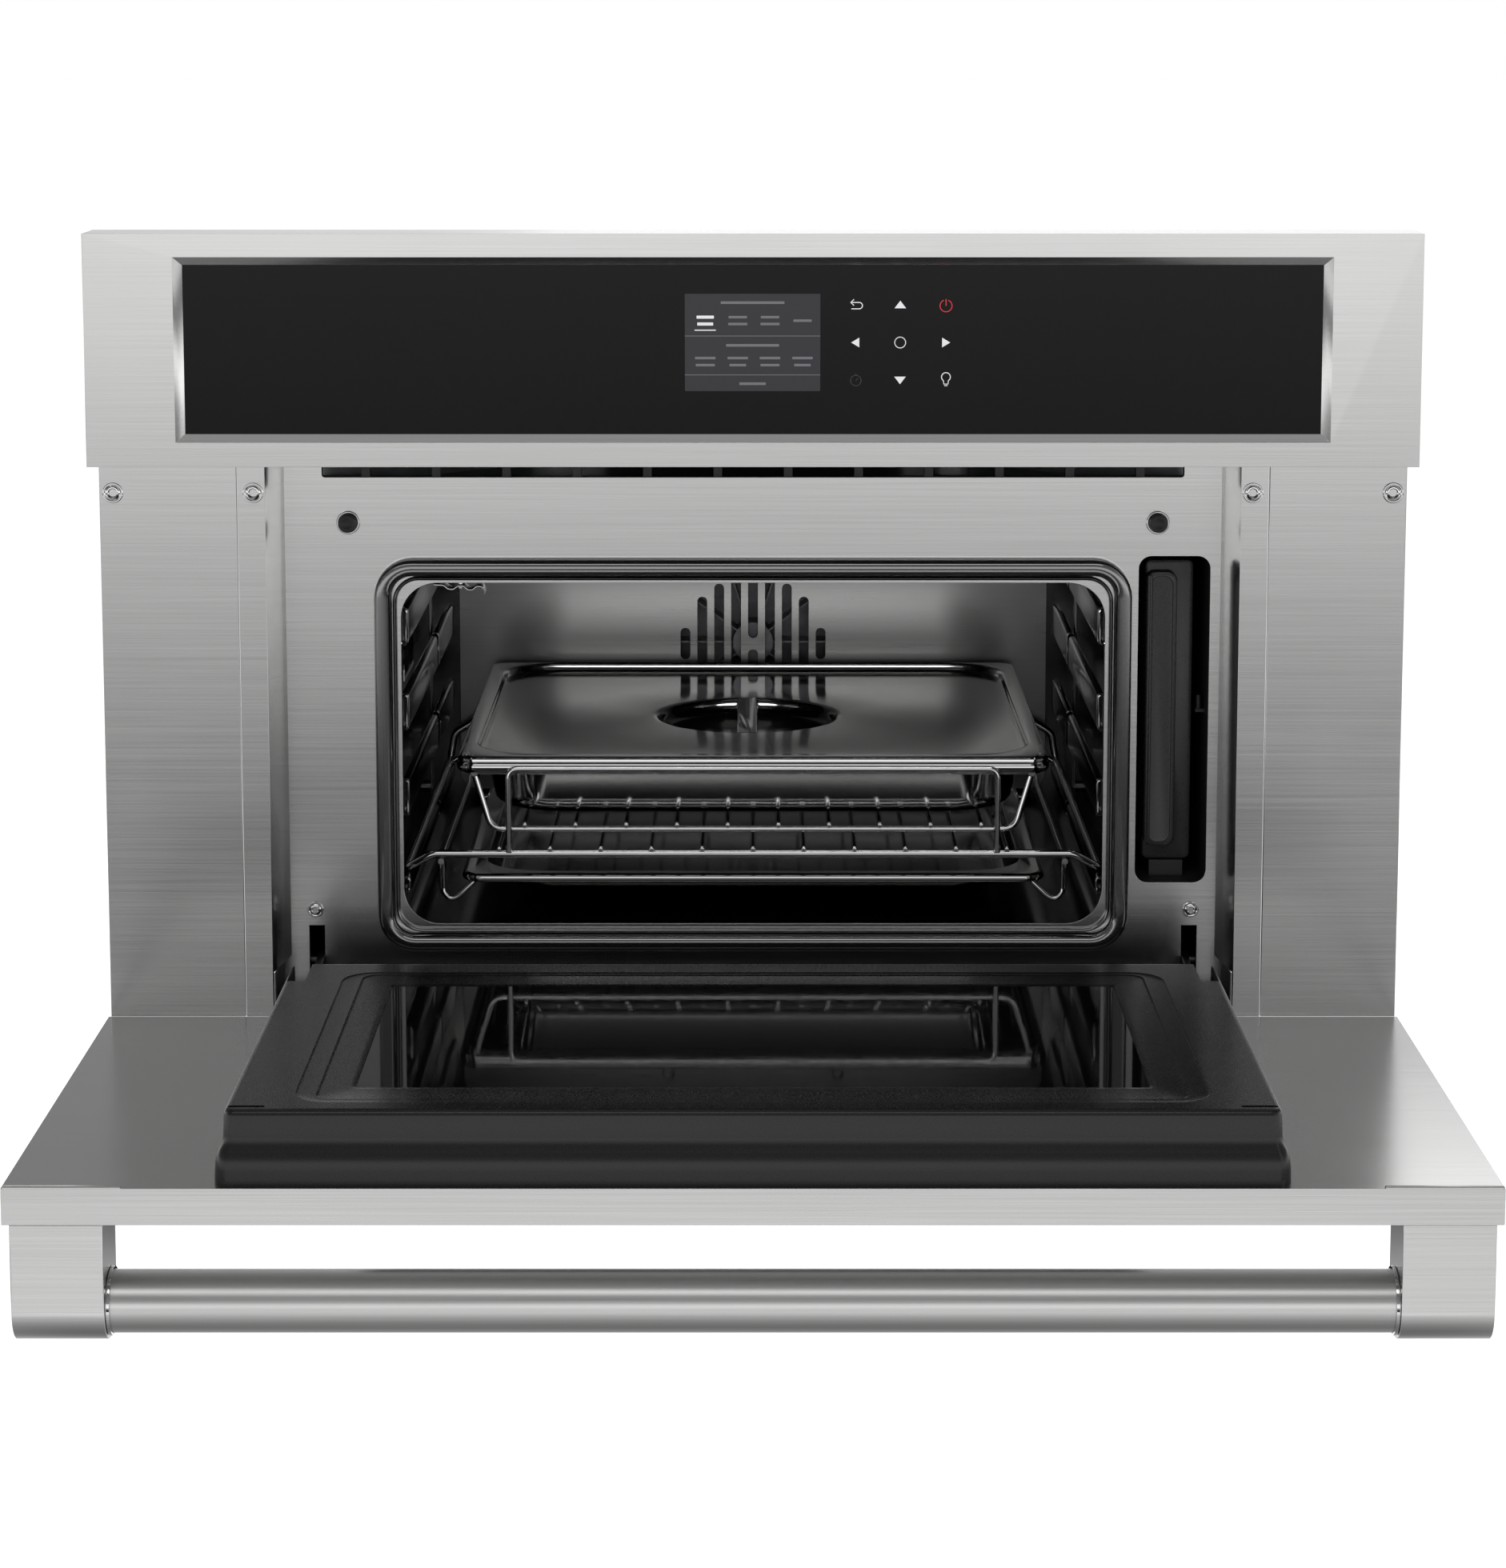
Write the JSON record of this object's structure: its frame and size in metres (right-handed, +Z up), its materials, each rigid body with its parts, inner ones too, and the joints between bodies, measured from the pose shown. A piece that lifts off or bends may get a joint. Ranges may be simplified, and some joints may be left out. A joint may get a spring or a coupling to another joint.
{
  "type": "combi steamer oven",
  "caption": "Built-in combi steam oven with a touch control panel, drop-down glazed door on spring hinges, pull-out water tank, rack and covered pan.",
  "frame": {"origin": "on the base's underside, on the centre line, in the plane of the cabinet's face (the rear face of the trim flange)", "axes": "+X to the right seen from the front, +Y into the cabinet, +Z up; the door is open at rest and lies along -Y"},
  "size_m": [0.7556, 0.8859, 0.545],
  "materials": {
    "stainless": "horizontal brushed, satin",
    "galvanised": "matt galvanised sheet",
    "cavity_steel": "smooth, half bright",
    "pan_steel": "polished pressing",
    "chrome": "bright drawn wire",
    "dark_steel": "black zinc",
    "aluminium": "mill",
    "black_enamel": "fired enamel, fine speckle",
    "black_glass": "polished, dark printed",
    "clear_glass": "polished",
    "black_plastic": "fine moulded grain",
    "tank_plastic": "smoke tinted moulding",
    "hose": "silicone",
    "black_rubber": "smooth moulding",
    "insulation": "glass fibre felt",
    "heater": "heat darkened tube",
    "circuit_board": "solder mask"
  },
  "bodies": {
    "oven_body": {"base_pan": "galvanised", "side_panel_left": "galvanised", "side_panel_right": "galvanised", "top_cover": "galvanised", "rear_cover": "galvanised", "trim_flange_left": "stainless", "trim_flange_right": "stainless", "frame_cheek_left": "stainless", "frame_cheek_right": "stainless", "front_frame": "stainless", "vent_grille": "black_plastic", "door_bumpers": "black_rubber", "control_fascia": "stainless", "control_glass": "black_glass", "display_module": "black_plastic", "control_board": "circuit_board", "cavity_shell": "cavity_steel", "cavity_gasket": "black_rubber", "insulation_wrap": "insulation", "fan_cover": "cavity_steel", "shelf_ladder_left": "chrome", "shelf_ladder_right": "chrome", "steam_sensor": "chrome", "oven_lamp": "clear_glass", "ring_heater": "heater", "fan_motor": "galvanised", "blower_housing": "galvanised", "blower_motor": "galvanised", "air_duct": "galvanised", "exhaust_pipe": "cavity_steel", "tank_housing": "black_plastic", "tank_coupling": "black_plastic", "water_pump": "black_plastic", "supply_hose": "hose", "steam_generator": "cavity_steel", "steam_pipe": "cavity_steel", "terminal_box": "black_plastic", "hinge_bracket_left": "galvanised", "hinge_bracket_right": "galvanised"},
    "door": {"door_skin": "stainless", "door_liner": "black_enamel", "inner_glass": "black_glass", "middle_glass": "clear_glass", "outer_glass": "black_glass", "glass_rails": "aluminium", "handle_bar": "stainless", "handle_bracket_left": "stainless", "handle_bracket_right": "stainless", "handle_screws": "dark_steel", "hinge_channels": "galvanised", "hinge_pins": "dark_steel", "hinge_springs": "dark_steel"},
    "hinge_link_pair": {"hinge_links": "dark_steel"},
    "convection_fan": {"fan_wheel": "cavity_steel"},
    "cooling_fan": {"blower_wheel": "aluminium"},
    "rack": {"wire_rack": "chrome", "upper_pan": "pan_steel", "lower_pan": "pan_steel"},
    "lid": {"pan_lid": "pan_steel"},
    "tank": {"water_tank": "tank_plastic"}
  },
  "joints": [
    {"name": "door_hinge", "type": "hinge", "parent": "oven_body", "child": "door", "pos_m": [0, -0.00585, 0.00315], "axis": [-1, 0, 0], "range_deg": [0, 90]},
    {"name": "hinge_link_swing", "type": "hinge", "parent": "oven_body", "child": "hinge_link_pair", "pos_m": [0, 0.046, 0.022], "axis": [-1, 0, 0], "range_deg": [0, 67.5]},
    {"name": "fan_spin", "type": "hinge", "parent": "oven_body", "child": "convection_fan", "pos_m": [0, 0.46, 0.146], "axis": [0, 1, 0], "continuous": true},
    {"name": "blower_spin", "type": "hinge", "parent": "oven_body", "child": "cooling_fan", "pos_m": [0, 0.265, 0.354], "axis": [1, 0, 0], "continuous": true},
    {"name": "rack_slide", "type": "slide", "parent": "oven_body", "child": "rack", "axis": [0, -1, 0], "range_m": [0, 0.05]},
    {"name": "lid_lift", "type": "slide", "parent": "rack", "child": "lid", "axis": [0, 0, 1], "range_m": [0, 0.06]},
    {"name": "tank_slide", "type": "slide", "parent": "oven_body", "child": "tank", "axis": [0, -1, 0], "range_m": [0, 0.018]}
  ],
  "couplings": [
    {"joint": "hinge_link_swing", "follows": "door_hinge", "ratio": 0.75}
  ]
}
